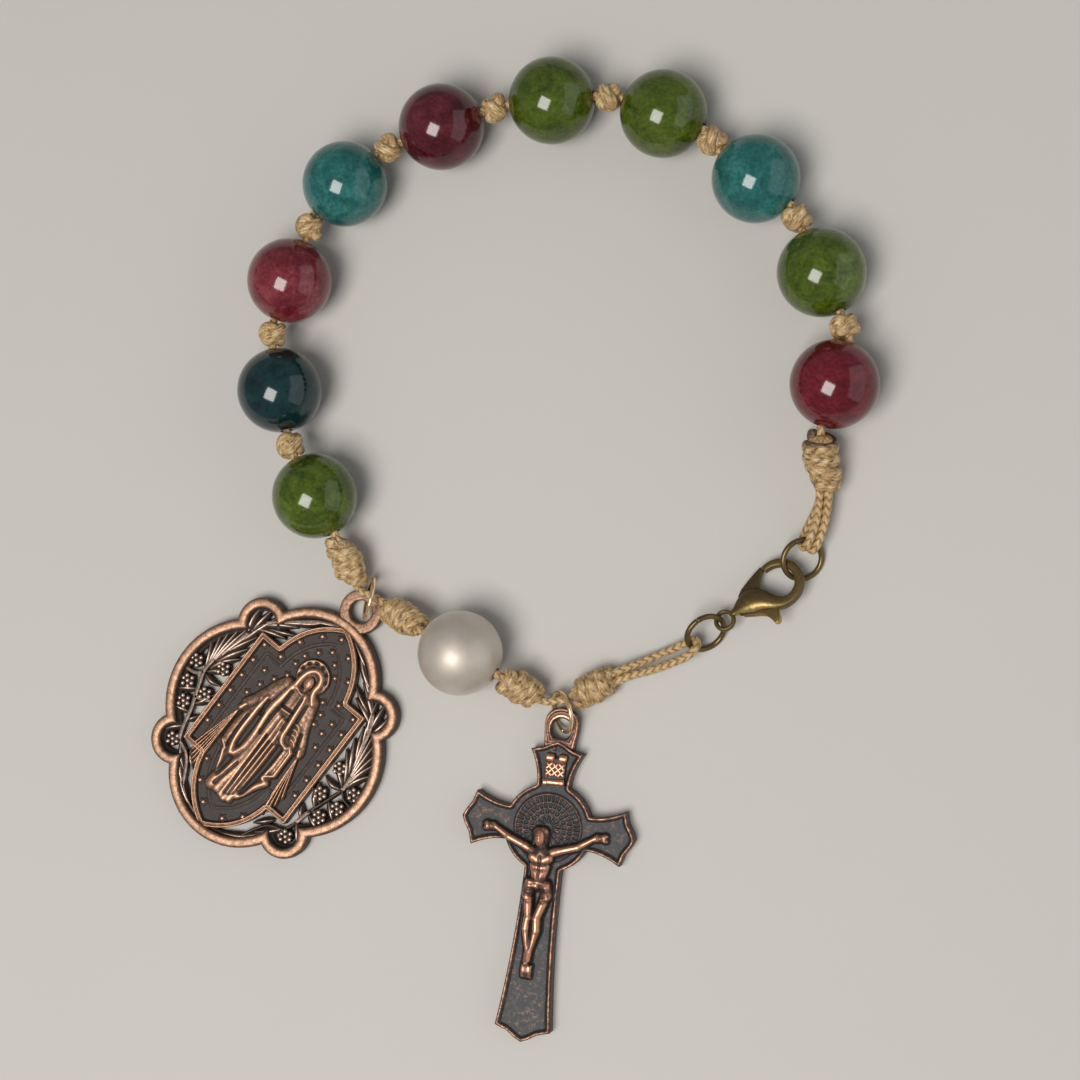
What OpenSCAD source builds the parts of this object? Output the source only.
// Beaded bracelet laid in its open loop on a table: ten stone beads and a pearl on a knotted
// waxed cord, a pierced oval medal and a crucifix on jump rings, and a lobster clasp.
// Millimetres. X and Y lie in the table's plane, Z points up, and the table is z = 0.

/* [Beads] */
// Diameter of the ten stone beads
bead_d = 10; // [9.8:0.1:10.1]
// Diameter of the pearl
pearl_d = 9.8; // [9.6:0.1:10]
// Bore through each bead and the pearl
bead_bore = 1.4; // [1.3:0.1:1.8]

/* [Cord and knots] */
// Diameter of the braided cord
cord_d = 0.9; // [0.85:0.05:0.95]
// Length of a small knot between two beads
small_knot_l = 2.7; // [2.3:0.1:2.8]
// Greatest diameter of a small knot
small_knot_d = 3.2; // [2.8:0.1:3.3]
// Greatest diameter of a wound knot
long_knot_d = 3.8; // [3.4:0.1:3.9]
// Greatest diameter of the wound knot beside the first bead
end_knot_d = 4.3; // [4.1:0.1:4.5]

/* [Medal] */
// Width of the medal's raised rim
rim_w = 1.25; // [1:0.05:1.4]
// Thickness of the medal at its rim
medal_t = 2; // [1.8:0.1:2.2]
// Thickness of the medal's plate behind the figure
field_t = 1; // [0.8:0.1:1.2]

/* [Crucifix] */
// Thickness of the cross at its raised edge
cross_t = 1.9; // [1.7:0.1:2]
// Width of the raised edge
edge_w = 0.35; // [0.3:0.05:0.5]

/* [Rings and clasp] */
// Outside diameter of the two rings of the clasp
clasp_ring_od = 5.2; // [5.1:0.05:5.2]
// Wire of the rings of the clasp
clasp_ring_wire = 0.65; // [0.6:0.05:0.65]
// Outside diameter of the two pendant rings
pendant_ring_od = 5.1; // [5:0.05:5.2]
// Wire of the pendant rings
pendant_ring_wire = 0.5; // [0.45:0.05:0.5]
// Thickness of the clasp's lever
lever_t = 0.8; // [0.6:0.1:0.8]

/* [Hidden] */

// Middle of the laid-out bracelet, which goes to the origin
middle = [-3.99, -1.08, 0];

// The stone beads from the clasp's ring round to the medal: colour, heading of the bore,
// and heading of the knot that follows
BEADS = [
    // [colour, bead, knot]
    ["#7c2a36", 70, 108],
    ["#4d6620", 114, 112],
    ["#2f7470", 141, 124],
    ["#4f6322", 156, 173],
    ["#52681f", 182, 191],
    ["#5c2233", 197, 203],
    ["#2f7a76", 221, 253],
    ["#8a3a44", 247, 268],
    ["#173f45", 281, 289],
    ["#4f6a1c", 298, 289]
];
cord_color = "#b79f72";
copper = "#9a5a38";
bronze = "#6b5526";
gold = "#c9a05a";

// Stretches of the cord: through a bead, through a small knot
mouth_gap = 0.1;
bead_step = bead_d + 2 * mouth_gap;
knot_step = 3.3;
// The first and the last stone bead lean down to the knots that lie on the table
end_tilt = 5;
end_rise = bead_step * sin(end_tilt);
bead_z = bead_d / 2;
// Heights of the cord beside the end knot, over the medal's bail and beside the cross
end_knot_z = 2.35;
medal_cord_z = 2.45;
cross_cord_z = 2;

// One stretch of the cord: length, heading and rise
function stretch(i) =
    i % 2 == 0
        ? [bead_step, BEADS[i / 2][1], i == 0 ? end_rise : i == 18 ? -end_rise : 0]
        : [knot_step, BEADS[(i - 1) / 2][2], i == 1 ? -end_rise / 2 : i == 17 ? end_rise / 2 : 0];

STRING = concat(
    // [length, heading, rise]
    [[7.5, 92, bead_z - end_rise / 2 - end_knot_z]],
    [for (i = [0 : 18]) stretch(i)],
    [
        [7.1, 289, medal_cord_z - bead_z + end_rise / 2],
        [3.4, 333, 0],
        [7.1, 328, pearl_d / 2 - medal_cord_z],
        [pearl_d + 2 * mouth_gap, 331, 0],
        [6.4, 327, cross_cord_z - pearl_d / 2],
        [2.9, 364, 0],
        [6.5, 385, 0]
    ]
);
FIRST_BEAD = 1;
KNOT_A = 20;
KNOT_B = 22;
PEARL = 23;
KNOT_C = 24;
KNOT_D = 26;
string_start = [33.2, 4.7, end_knot_z];

function step(s) =
    let (run = sqrt(s[0] * s[0] - s[2] * s[2]))
    [run * cos(s[1]), run * sin(s[1]), s[2]];

// Places where one stretch ends and the next begins
P = [for (i = 0, p = string_start; i <= len(STRING);
          p = i < len(STRING) ? p + step(STRING[i]) : p, i = i + 1) p];

function unit(v) = v / norm(v);
function along(i) = unit(P[i + 1] - P[i]);
function left_of(d) = unit([-d[1], d[0], 0]);
function above(d) = cross(d, left_of(d));

// A point inside stretch i: share of its length, offset to the left and offset upwards
function inside(i, share, left, up) =
    P[i] + share * (P[i + 1] - P[i]) + left * left_of(along(i)) + up * above(along(i));

// Rings: centre, heading of the diameter that lies level, and rise of the ring across it
ring_r = (clasp_ring_od - clasp_ring_wire) / 2;
RING_A = [[19.72, -10.88, 2.16], 41, 50];
RING_B = [[30.64, -2.65, 1.64], 54.7, 32.1];

function ring_u(r) = [cos(r[1]), sin(r[1]), 0];
function ring_v(r) = [-sin(r[1]) * cos(r[2]), cos(r[1]) * cos(r[2]), sin(r[2])];
function on_ring(r, a) = r[0] + ring_r * (cos(a) * ring_u(r) + sin(a) * ring_v(r));

// The cord round a ring's wire: an arc about the wire that starts on the side of the vector
// over and ends on the opposite side, bulging along the vector inwards
wrap_r = (cord_d + clasp_ring_wire) / 2 + 0.1;
function wrap(w, inwards, over) =
    [for (a = [90 : -30 : -90]) w + wrap_r * (cos(a) * inwards + sin(a) * over)];

pair = (cord_d + 0.06) / 2;
ring_b_turn = 13;
ring_b_side = 13.4;
over_b = cross(ring_u(RING_B), ring_v(RING_B));
inwards_b = -cos(ring_b_turn) * ring_u(RING_B) - sin(ring_b_turn) * ring_v(RING_B);
over_a = cross(ring_u(RING_A), ring_v(RING_A));

// The cord's route: out of the end knot and round ring B, back through the knot, along all
// the beads, round ring A and back into the last knot
cord_route = concat(
    [inside(0, 0.4, pair, pair), inside(0, -0.03, pair, pair)],
    wrap(on_ring(RING_B, ring_b_turn + ring_b_side), inwards_b, over_b),
    [inside(0, -0.03, pair, -pair), inside(0, 0.4, pair, -pair), inside(0, 0.85, 0, 0)],
    [for (i = [1 : KNOT_D]) P[i]],
    [inside(KNOT_D, 0.45, pair, 0), inside(KNOT_D, 1.04, pair, 0), [14.2, -13.35, 1.1]],
    wrap(on_ring(RING_A, 180), ring_u(RING_A), -over_a),
    [[15.0, -14.6, 2.2], inside(KNOT_D, 1.04, -pair, 0), inside(KNOT_D, 0.55, -pair, 0)]
);

// The second turn round ring B, with both its ends inside the end knot
loop_route = concat(
    [inside(0, 0.4, -pair, pair), inside(0, -0.03, -pair, pair)],
    wrap(on_ring(RING_B, ring_b_turn - ring_b_side), inwards_b, over_b),
    [inside(0, -0.03, -pair, -pair), inside(0, 0.4, -pair, -pair)]
);

// Pendants: place of the local origin and heading of the axis that points to the bail
MEDAL = [[-32.2, -22, 0], 51.5];
CROSS = [[1.3, -33.2, 0], 82.5];
MEDAL_RING = [[-20.05, -6.7, 2.38], 77, 23];
CROSS_RING = [[3.12, -19.91, 2.17], 103.8, 35.7];

// Clasp: place of the eye, heading of the long axis, nose-up pitch and roll
CLASP = [[21.82, -9.35, 1.99], 33.6, -0.4, -18.5];
pivot = [3.4, -0.2];
pin_r = 0.33;
gate_r = 4.15;

// Part of s that stands square to d, at unit length
function square_to(s, d) = unit(s - (s * d) * d);

// Tube of n sides round a route, flat at both ends, its sides carried along without a twist
module tube(route, d, n) {
    last = len(route) - 1;
    dirs = [for (i = [0 : last])
        unit(route[min(i + 1, last)] - route[max(i - 1, 0)])];
    sides = [for (i = 0, s = left_of(dirs[0]); i <= last;
                  s = i < last ? square_to(s, dirs[i + 1]) : s, i = i + 1) s];
    rings = [for (i = [0 : last]) for (k = [0 : n - 1])
        let (u = cross(dirs[i], sides[i]), a = 360 * k / n)
        route[i] + d / 2 * (cos(a) * sides[i] + sin(a) * u)];
    walls = [for (i = [0 : last - 1]) for (k = [0 : n - 1])
        [i * n + k, (i + 1) * n + k, (i + 1) * n + (k + 1) % n, i * n + (k + 1) % n]];
    start = [for (k = [0 : n - 1]) k];
    end = [for (k = [n - 1 : -1 : 0]) last * n + k];
    polyhedron(points = rings, faces = concat([start], walls, [end]), convexity = 6);
}

// Puts the children on stretch i of the cord, with Z along it and Z = 0 at its middle
module on_string(i) {
    d = along(i);
    translate((P[i] + P[i + 1]) / 2)
        rotate([0, acos(d[2]), STRING[i][1]])
            children();
}

module bead(d) {
    difference() {
        sphere(d = d, $fn = 48);
        cylinder(d = bead_bore, h = d + 2, center = true, $fn = 24);
    }
}

// A knot wound of n turns, each a round rib, with a bore for the cord
module wound_knot(l, d, n, rib, bore) {
    pitch = (l - 2 * rib) / (n - 1);
    rotate_extrude($fn = 48)
        difference() {
            union() {
                for (i = [0 : n - 1]) {
                    waist = abs(2 * i / (n - 1) - 1);
                    translate([d / 2 - rib - 0.3 * waist * waist, rib + i * pitch - l / 2])
                        circle(r = rib, $fn = 24);
                }
                translate([0, rib - l / 2])
                    square([d / 2 - 1.2 * rib, l - 2 * rib]);
            }
            translate([-d, -l])
                square([d + bore / 2, 2 * l]);
        }
}

module small_knot(shorter) {
    wound_knot(small_knot_l - shorter, small_knot_d, 2, 0.72, cord_d + 0.2);
}

module jump_ring(od, wire, slit_at) {
    rotate([0, 0, slit_at + 2])
        rotate_extrude(angle = 356, $fn = 64)
            translate([(od - wire) / 2, 0])
                circle(d = wire, $fn = 24);
}

module place_ring(r) {
    translate(r[0])
        rotate([0, 0, r[1]])
            rotate([r[2], 0, 0])
                children();
}

// A pendant ring stands on its edge: heading of its level diameter, and lean to the right
module place_pendant_ring(r) {
    translate(r[0])
        rotate([0, 0, r[1]])
            rotate([90 + r[2], 0, 0])
                children();
}

module place_pendant(p) {
    translate(p[0])
        rotate([0, 0, p[1] - 90])
            children();
}

// Points of an arc from p to q that bulges to the right by the sagitta s
function arc(p, q, s, n) =
    let (c = norm(q - p) / 2, r = (c * c + s * s) / (2 * s), h = r - s,
         d = (q - p) / (2 * c), m = (p + q) / 2 - h * [d[1], -d[0]],
         half = asin(c / r), base = atan2(-d[0], d[1]))
    [for (i = [0 : n]) let (a = base - half + 2 * half * i / n) m + r * [cos(a), sin(a)]];

// Medal

// Flat layer between two heights
module layer(z0, z1) {
    translate([0, 0, z0])
        linear_extrude(z1 - z0)
            children();
}

web_t = 1.1;
medal_w = 4.3;
medal_h = 6.87;
module medal_outline(inset) {
    for (s = [-1, 1]) {
        translate([0, s * medal_h])
            circle(r = 8.9 - inset, $fn = 36);
        translate([s * medal_w, 0])
            circle(r = 10.3 - inset, $fn = 36);
        for (t = [-1, 1])
            translate([s * 8.8, t * 8.8])
                circle(r = 3.1 - inset, $fn = 20);
    }
}

frame_w = 8.2;
frame_h = 8.05;
notch_u = 5.4;
apex_v = 14.9;

// Pointed panel with four barbed corners, drawn inwards by inset
module panel_outline(inset) {
    w = frame_w - inset;
    h = frame_h - inset;
    notch = notch_u - 0.8 * inset;
    apex = apex_v - 1.25 * inset;
    quarter = arc([notch, h], [0, apex], 1.1, 5);
    right = [for (p = quarter) p];
    left = [for (i = [len(quarter) - 1 : -1 : 0]) [-quarter[i][0], quarter[i][1]]];
    top = concat([[w, h]], right, left, [[-w, h]]);
    bottom = [for (p = top) [-p[0], -p[1]]];
    polygon(concat(top, bottom));
}

// Slim leaf between two points
module blade(p, q, w) {
    d = (q - p) / norm(q - p);
    n = [-d[1], d[0]];
    root = p - 0.3 * d;
    polygon([root - 0.25 * w * n, (p + q) / 2 - w / 2 * n, q, (p + q) / 2 + w / 2 * n, root + 0.25 * w * n]);
}

// Right half of the pierced sprays
STEMS = [
    // [from, to, width]
    [[8.0, -9.2], [9.3, -5.8], 0.7],
    [[9.3, -5.8], [10.4, -1.2], 0.7],
    [[10.4, -1.2], [10.2, 2.6], 0.7],
    [[10.2, 2.6], [9.0, 8.4], 0.7],
    [[10.4, -1.2], [13.6, -1.6], 0.5],
    [[7.8, -2.6], [11.0, -3.2], 0.5],
    [[5.0, -10.2], [9.6, -7.6], 0.6],
    [[5.6, 10.9], [9.2, 8.6], 0.7],
    [[0.8, 14.4], [5.8, 10.6], 0.6],
    [[0.8, -14.55], [5.6, -10.5], 0.6]
];
LEAVES = [
    // [from, to, width]
    [[10.3, -0.8], [13.5, 2.6], 0.9],
    [[10.2, 0.8], [13.0, 4.7], 0.9],
    [[10.1, 2.4], [12.0, 7.3], 0.9],
    [[9.8, 4.4], [10.8, 10.6], 0.9],
    [[10.2, -0.6], [8.0, 2.2], 0.8],
    [[10.1, 1.4], [8.0, 4.6], 0.8],
    [[9.8, 3.6], [8.0, 7.0], 0.8],
    [[8.9, 7.4], [7.9, 11.3], 0.9],
    [[6.8, 9.6], [4.8, 13.3], 0.8],
    [[6.6, -9.2], [4.6, -13.2], 0.8],
    [[8.9, -7.2], [11.2, -9.8], 0.7],
    [[9.2, -6.6], [12.6, -6.4], 0.7]
];
BERRIES = [[12.4, 0.2], [12.2, -2.6], [11.1, -4.9], [9.3, -3.1], [8.9, 1.5], [9.2, -9.2]];

module berry_disc(at) {
    translate(at)
        circle(r = 1.05, $fn = 10);
}

module berries(at) {
    for (k = [0 : 5])
        translate([at[0] + 0.66 * cos(60 * k + 7), at[1] + 0.66 * sin(60 * k + 7), web_t - 0.1])
            cylinder(r1 = 0.3, r2 = 0.2, h = 0.5, $fn = 5);
}

// Bosses on the panel, as quarter-turn twins
STARS = [[0, 13.3], [2.1, 12.2], [3.9, 10], [4.7, 7.3], [7, 6.9], [7, 4.6], [7, 2.3], [7, 0]];
INNER_STARS = [[1.4, 10.8], [2.9, 9.2], [3.1, 6.4], [5.2, 4.9], [3.8, 4.6], [5.2, 1.6], [4.7, 3.2]];

module star(at) {
    translate([at[0], at[1], field_t - 0.1])
        cylinder(r1 = 0.34, r2 = 0.16, h = 0.45, $fn = 4);
}

// Round bar from one point to another
module limb(p, q, r1, r2, n = 8) {
    hull() {
        translate(p)
            sphere(r = r1, $fn = n);
        translate(q)
            sphere(r = r2, $fn = n);
    }
}

// Standing robed figure with open arms, a veil and a studded halo
module robed_figure() {
    z = field_t;
    hull() {
        limb([-1.1, 4.4, z + 0.2], [1.7, 5, z + 0.2], 0.9, 0.8);
        limb([-2.3, -2, z + 0.1], [2.8, -2, z + 0.1], 0.9, 0.8);
        limb([0, 1, z + 0.7], [0.6, 5, z + 0.6], 0.8, 0.7);
    }
    hull() {
        limb([-2.3, -2, z + 0.1], [2.8, -2, z + 0.1], 0.9, 0.8);
        limb([-1.8, -9.6, z], [2, -8.8, z], 0.6, 0.6);
        limb([0.2, -9.8, z + 0.2], [0.4, -2, z + 0.8], 0.6, 0.7);
    }
    FOLDS = [
        // [top u, top v, foot u, foot v]
        [-1.6, 2.6, -3.2, -5.2],
        [-0.4, 2, -1.4, -9.8],
        [0.6, 1.2, 0.1, -10.05],
        [1.4, 0.4, 1.2, -9.8],
        [2.4, -0.8, 2.6, -7.6]
    ];
    for (f = FOLDS)
        limb([f[0], f[1], z + 0.9], [f[2], f[3], z + 0.4], 0.42, 0.5, 6);
    limb([-1.6, 4.1, z + 0.5], [-3, 1.6, z + 0.4], 0.8, 0.8);
    limb([-3, 1.6, z + 0.4], [-4.6, -0.2, z + 0.3], 0.7, 0.4);
    limb([-2.95, 1.4, z + 0.2], [-3.4, -4.6, z - 0.02], 0.68, 0.42);
    limb([2.1, 4.7, z + 0.5], [3.1, 2.2, z + 0.5], 0.7, 0.8);
    limb([3.1, 2.2, z + 0.5], [4.4, 0, z + 0.3], 0.7, 0.4);
    limb([2.9, 2, z + 0.4], [2.4, -0.6, z + 0.3], 0.7, 0.5);
    limb([0.5, 7.2, z + 0.6], [0.6, 5.6, z + 0.5], 1.15, 0.7, 10);
    translate([0.3, 7.7, 0])
        difference() {
            translate([0, 0, z - 0.3])
                cylinder(r = 2.5, h = 0.7, $fn = 28);
            translate([0, 0, z + 0.05])
                cylinder(r = 1.8, h = 1, $fn = 28);
        }
    for (k = [0 : 10])
        translate([0.3 + 2.15 * cos(24 * k - 30), 7.7 + 2.15 * sin(24 * k - 30), z])
            cylinder(r1 = 0.25, r2 = 0.15, h = 0.6, $fn = 5);
}

// Fan of rays from a hand: a flat wedge with three ridges
module rays(hand, foot, spread) {
    d = (foot - hand) / norm(foot - hand);
    n = [-d[1], d[0]];
    layer(field_t - 0.2, field_t + 0.35)
        polygon([hand - 0.35 * n, foot - spread * n, foot + spread * n, hand + 0.35 * n]);
    for (k = [-0.62, 0, 0.62])
        layer(field_t - 0.15, field_t + 0.68 - 0.2 * abs(k))
            polygon([hand + 0.7 * d + (0.35 * k - 0.1) * n, foot - 0.1 * d + (k * spread - 0.2) * n,
                     foot - 0.1 * d + (k * spread + 0.2) * n, hand + 0.7 * d + (0.35 * k + 0.1) * n]);
}

bail_v = 17.5;
pendant_bail_z = 0.75;
bail_t = 1.1;

// Everything of the medal's right half that is one flat layer
module spray_outline() {
    for (s = STEMS)
        blade(s[0], s[1], 1.2 * s[2]);
    for (s = LEAVES)
        blade(s[0], s[1], s[2]);
    for (b = BERRIES)
        berry_disc(b);
}

module medal() {
    color(copper)
        place_pendant(MEDAL) {
            linear_extrude(web_t) {
                panel_outline(0);
                difference() {
                    medal_outline(0);
                    medal_outline(rim_w);
                }
                for (m = [0, 1])
                    mirror([m, 0])
                        spray_outline();
            }
            layer(0.4, medal_t)
                difference() {
                    medal_outline(0.11);
                    medal_outline(rim_w - 0.23);
                }
            layer(0.5, 1.7)
                difference() {
                    panel_outline(0.04);
                    panel_outline(0.75);
                }
            layer(0.6, field_t + 0.2)
                difference() {
                    panel_outline(1.95);
                    panel_outline(2.2);
                }
            for (m = [0, 1])
                mirror([m, 0, 0]) {
                    layer(0.7, web_t + 0.25)
                        for (s = LEAVES)
                            blade(s[0] + 0.1 * (s[1] - s[0]), s[0] + 0.88 * (s[1] - s[0]), 0.42 * s[2]);
                    for (b = BERRIES)
                        berries(b);
                    for (s = STARS)
                        star(s);
                    for (s = STARS)
                        star([s[0], -s[1]]);
                    for (s = INNER_STARS)
                        star(s);
                }
            robed_figure();
            rays([-4.6, -0.4], [-6.1, -8.9], 0.85);
            rays([4.5, -0.2], [5.6, -7.8], 0.7);
            translate([0, bail_v, pendant_bail_z])
                difference() {
                    cylinder(r = 2.65, h = bail_t, $fn = 40);
                    translate([0, 0, -1])
                        cylinder(r = 1.35, h = 4, $fn = 32);
                }
        }
}

// Crucifix

shaft_tip = 24.6;
ARMS = [
    // [heading, root, half-width at the root, corner, half-width at the corner, tip]
    [0, 4.6, 1.95, 8.8, 3.15, 10.2],
    [90, 4.4, 1.9, 8.8, 3.1, 10],
    [180, 4.6, 1.95, 8.8, 3.15, 10.2],
    [270, 5, 2.1, 23.1, 3.25, 24.6]
];

// One flared arm with a pointed end, drawn inwards by inset
module flared_arm(a, inset) {
    w0 = a[2] - inset;
    w1 = a[4] - 1.1 * inset;
    corner = a[3] - 0.8 * inset;
    tip = a[5] - 1.3 * inset;
    flare = [for (i = [0 : 5]) let (t = i / 5) [a[1] + t * (corner - a[1]), w0 + (w1 - w0) * t * t]];
    end = [[corner + 0.3 * (tip - corner), 0.55 * w1], [corner + 0.75 * (tip - corner), 0.25 * w1]];
    edge = concat([[0, w0]], flare, end);
    back = [for (i = [len(edge) - 1 : -1 : 0]) [edge[i][0], -edge[i][1]]];
    rotate([0, 0, a[0]])
        polygon(concat(edge, [[tip, 0]], back));
}

module cross_outline(inset) {
    circle(r = 5.1 - inset, $fn = 48);
    for (a = ARMS)
        flared_arm(a, inset);
}

// Figure on the cross, about 16 mm tall
LIMBS = [
    // [from, to, radius at each end]
    [[-1.5, -2.3, 0.7], [-4.2, -1.1, 0.6], 0.55, 0.42],
    [[-4.2, -1.1, 0.6], [-6.4, -0.3, 0.5], 0.42, 0.36],
    [[1.1, -2.2, 0.7], [3.8, -1.5, 0.6], 0.55, 0.42],
    [[3.8, -1.5, 0.6], [6.3, -0.3, 0.5], 0.42, 0.36],
    [[-0.2, -2.7, 0.7], [-0.25, -5.4, 0.6], 1.35, 0.9],
    [[-0.25, -5.4, 0.6], [-0.3, -7, 0.6], 0.9, 1.2],
    [[-1.2, -7, 0.5], [-1, -8.8, 0.6], 0.8, 0.75],
    [[0.7, -7, 0.5], [0.8, -8.6, 0.6], 0.8, 0.75],
    [[-1, -8, 0.6], [-0.75, -10.9, 0.9], 0.65, 0.45],
    [[0.75, -8, 0.6], [0.25, -10.8, 0.9], 0.65, 0.45],
    [[-0.75, -10.9, 0.8], [-0.7, -14.4, 0.4], 0.45, 0.34],
    [[0.25, -10.8, 0.8], [-0.1, -14.3, 0.4], 0.45, 0.34],
    [[-0.5, -14.2, 0.5], [-0.5, -15.7, 0.7], 0.45, 0.4]
];
cross_field = cross_t - 0.3;
cross_bail_v = 11.55;

module halo_ticks() {
    for (k = [0 : 23])
        rotate([0, 0, 15 * k])
            translate([3.1, -0.12, 0])
                cube([0.6, 0.24, cross_field + 0.15]);
}

module scroll_plaque() {
    translate([-1.3, 5.2, 0])
        cube([2.7, 3.1, cross_field + 0.35]);
    for (v = [5, 8.4])
        translate([0.05, v, cross_field + 0.3])
            rotate([0, 90, 0])
                cylinder(r = 0.42, h = 3.1, center = true, $fn = 8);
    for (k = [0 : 2])
        translate([0.05, 5.9 + 0.8 * k, cross_field + 0.35])
            rotate([0, 0, 45])
                cube([0.5, 0.5, 0.5], center = true);
}

module crucifix() {
    color(copper)
        place_pendant(CROSS) {
            linear_extrude(cross_field)
                cross_outline(0);
            linear_extrude(cross_t)
                difference() {
                    cross_outline(0);
                    cross_outline(edge_w);
                }
            linear_extrude(cross_field + 0.2)
                difference() {
                    circle(r = 3.9, $fn = 40);
                    circle(r = 3.65, $fn = 40);
                }
            linear_extrude(cross_field + 0.2)
                difference() {
                    circle(r = 3.15, $fn = 32);
                    circle(r = 2.9, $fn = 32);
                }
            halo_ticks();
            scroll_plaque();
            translate([0, 0, cross_field - 0.15]) {
                for (m = LIMBS)
                    limb(m[0], m[1], m[2], m[3]);
                for (s = [-1, 1])
                    translate([s * 6.5, -0.3, 0.5])
                        sphere(r = 0.5, $fn = 8);
                limb([-0.5, -0.6, 0.9], [-0.45, -1.6, 0.9], 1, 0.75, 10);
            }
            translate([-1.15, -17.3, 0])
                cube([1.3, 2, cross_field + 0.8]);
            translate([0.2, cross_bail_v, pendant_bail_z])
                difference() {
                    union() {
                        cylinder(r = 2.05, h = bail_t, $fn = 32);
                        translate([-1.75, -3, 0])
                            cube([3.5, 2.6, bail_t]);
                    }
                    translate([0, 0, -1])
                        cylinder(r = 1.27, h = 4, $fn = 28);
                }
        }
}

// Clasp

module place_clasp() {
    translate(CLASP[0])
        rotate([0, 0, CLASP[1]])
            rotate([0, CLASP[2], 0])
                rotate([CLASP[3], 0, 0])
                    children();
}

// Opening inside the hook, with its edges eased at both faces
module hook_opening(grow) {
    for (x = [7.15, 7.5])
        translate([x, 0.3, 0]) {
            cylinder(r = 1.85 + grow, h = 6, center = true, $fn = 48);
            for (m = [0, 1])
                mirror([0, 0, m])
                    translate([0, 0, 0.3])
                        cylinder(r1 = 1.85, r2 = 2.1, h = 0.26, $fn = 48);
        }
}

hook_half = 0.55;
module hook_disc() {
    translate([7.45, -0.12, 0]) {
        cylinder(r = 2.95, h = 0.6, center = true, $fn = 64);
        for (m = [0, 1])
            mirror([0, 0, m])
                translate([0, 0, 0.3])
                    cylinder(r1 = 2.95, r2 = 2.7, h = hook_half - 0.3, $fn = 64);
    }
}

slot_t = 1;
module clasp_body() {
    color(bronze)
        place_clasp() {
            difference() {
                union() {
                    hull() {
                        translate([1.5, 0, 0])
                            sphere(r = 0.5, $fn = 16);
                        translate([3.55, 0.1, 0])
                            scale([1, 1, 0.76])
                                sphere(r = 1.65, $fn = 32);
                        translate([6.35, -2.2, 0])
                            sphere(r = 0.75, $fn = 16);
                    }
                }
                hook_opening(0);
                translate([1.75, -5, -slot_t / 2])
                    cube([4.3, 9, slot_t]);
                translate([pivot[0], pivot[1], -3])
                    cylinder(r = pin_r + 0.02, h = 6, $fn = 32);
            }
            difference() {
                hook_disc();
                hook_opening(0);
                intersection() {
                    translate([pivot[0], pivot[1], -3])
                        cylinder(r = gate_r + 0.12, h = 6, $fn = 64);
                    translate([0, 0.2, -3])
                        cube([12, 6, 6]);
                }
                translate([0, -5, -3])
                    cube([6.15, 12, 6]);
            }
            rotate_extrude($fn = 48)
                polygon([[0.8, -0.25], [0.9, -0.4], [1.15, -0.4], [1.28, -0.25],
                         [1.28, 0.25], [1.15, 0.4], [0.9, 0.4], [0.8, 0.25]]);
            translate([1, -0.38, -0.38])
                cube([0.72, 0.76, 0.76]);
        }
}

module clasp_lever() {
    color(bronze)
        place_clasp()
            difference() {
                intersection() {
                    translate([0, 0, -lever_t / 2])
                        linear_extrude(lever_t)
                            polygon([[2.3, 0.3], [2.85, 1.2], [3.5, 1.75], [4.6, 2.15], [5.7, 2.5], [6.6, 2.75],
                                     [7, 2.2], [6, 1.75], [5.5, 1.2], [5.2, 0.5], [5, -0.4], [4.95, -1.2],
                                     [5.35, -1.9], [5.85, -2.55], [5.5, -3.55], [5.1, -3.9], [4.7, -3.7],
                                     [4.45, -2.6], [3.75, -2.15], [2.35, -1.2], [2.2, -0.6]]);
                    translate([pivot[0], pivot[1], -2])
                        cylinder(r = gate_r, h = 4, $fn = 64);
                }
                translate([pivot[0], pivot[1], -2])
                    cylinder(r = pin_r + 0.05, h = 4, $fn = 32);
            }
}

module clasp_pin() {
    color(bronze)
        place_clasp()
            translate([pivot[0], pivot[1], 0])
                cylinder(r = pin_r, h = 2.3, center = true, $fn = 32);
}

module stone_bead(i) {
    color(BEADS[i][0])
        on_string(FIRST_BEAD + 2 * i)
            bead(bead_d);
}

module pearl() {
    color("#ebe6df")
        on_string(PEARL)
            bead(pearl_d);
}

module between_beads(i) {
    color(cord_color)
        on_string(FIRST_BEAD + 1 + 2 * i)
            small_knot(i == 0 ? 0.3 : 0);
}

module knot_on(i, l, d, bore) {
    color(cord_color)
        on_string(i)
            wound_knot(l, d, 5, 0.75, bore);
}

module cord() {
    color(cord_color)
        tube(cord_route, cord_d, 8);
}

module loop_cord() {
    color(cord_color)
        tube(loop_route, cord_d, 8);
}

module to_origin() {
    translate(-middle)
        children();
}

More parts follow.
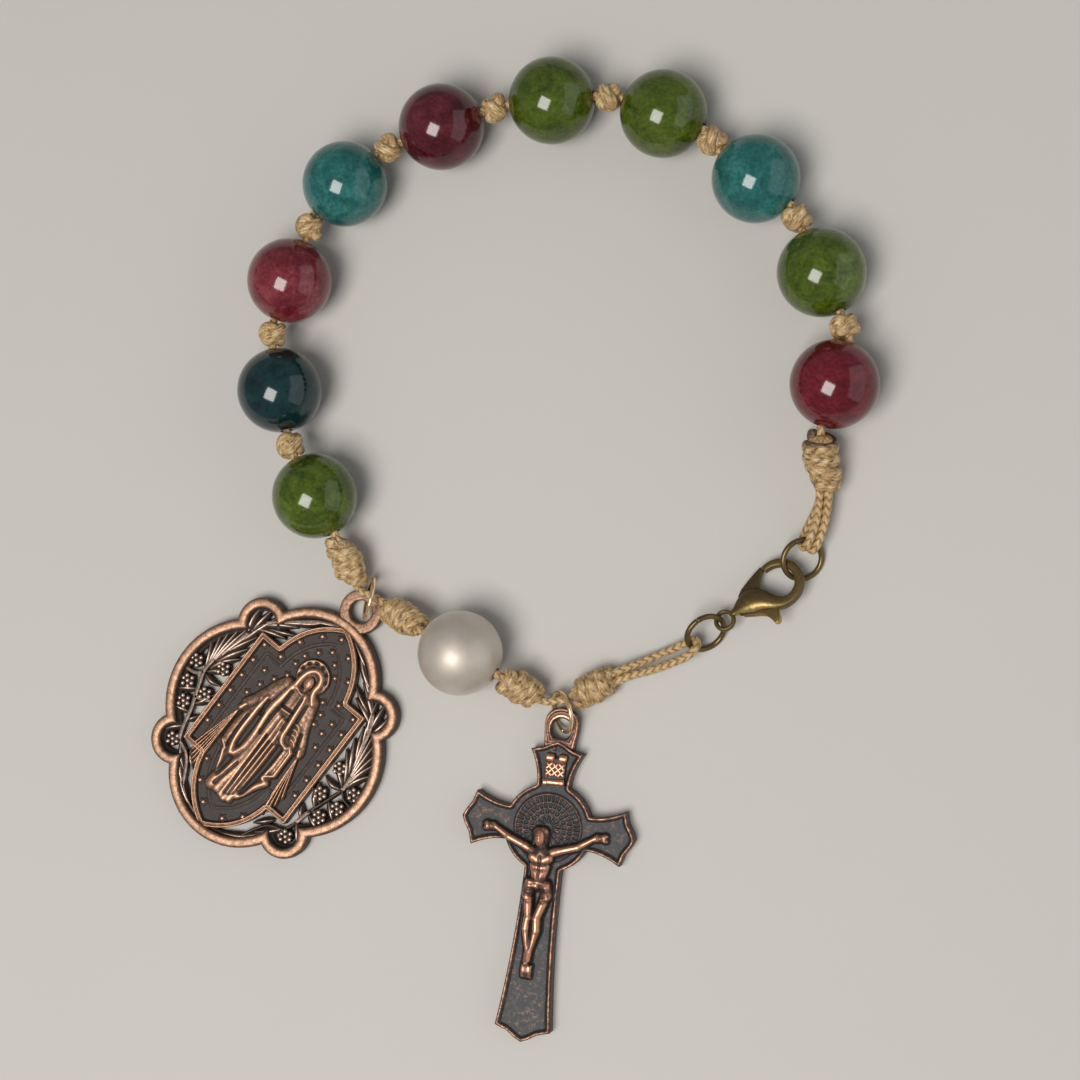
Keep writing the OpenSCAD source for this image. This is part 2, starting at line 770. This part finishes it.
two_strands = 2 * (pair + cord_d / 2) + 0.08;
four_strands = 2 * (sqrt(2) * pair + cord_d / 2) + 0.08;

to_origin() stone_bead(0);  // bead_01
to_origin() stone_bead(1);  // bead_02
to_origin() stone_bead(2);  // bead_03
to_origin() stone_bead(3);  // bead_04
to_origin() stone_bead(4);  // bead_05
to_origin() stone_bead(5);  // bead_06
to_origin() stone_bead(6);  // bead_07
to_origin() stone_bead(7);  // bead_08
to_origin() stone_bead(8);  // bead_09
to_origin() stone_bead(9);  // bead_10
to_origin() pearl();
to_origin() between_beads(0);  // knot_small_01
to_origin() between_beads(1);  // knot_small_02
to_origin() between_beads(2);  // knot_small_03
to_origin() between_beads(3);  // knot_small_04
to_origin() between_beads(4);  // knot_small_05
to_origin() between_beads(5);  // knot_small_06
to_origin() between_beads(6);  // knot_small_07
to_origin() between_beads(7);  // knot_small_08
to_origin() between_beads(8);  // knot_small_09
to_origin() knot_on(0, 6.9, end_knot_d, four_strands);  // knot_long_01
to_origin() knot_on(KNOT_A, 6.5, long_knot_d, cord_d + 0.2);  // knot_long_02
to_origin() knot_on(KNOT_B, 6.5, long_knot_d, cord_d + 0.2);  // knot_long_03
to_origin() knot_on(KNOT_C, 5.8, long_knot_d, cord_d + 0.2);  // knot_long_04
to_origin() knot_on(KNOT_D, 6.2, long_knot_d, two_strands);  // knot_long_05
to_origin() cord();
to_origin() loop_cord();
to_origin() medal();
to_origin() crucifix();
to_origin() color(gold)  // medal_ring
    place_pendant_ring(MEDAL_RING) jump_ring(pendant_ring_od, pendant_ring_wire, 200);
to_origin() color(gold)  // crucifix_ring
    place_pendant_ring(CROSS_RING) jump_ring(pendant_ring_od, pendant_ring_wire, 200);
to_origin() color(bronze)  // clasp_ring_a
    place_ring(RING_A) jump_ring(clasp_ring_od, clasp_ring_wire, 80);
to_origin() color(bronze)  // clasp_ring_b
    place_ring(RING_B) jump_ring(clasp_ring_od, clasp_ring_wire, 60);
to_origin() clasp_body();
to_origin() clasp_lever();
to_origin() clasp_pin();
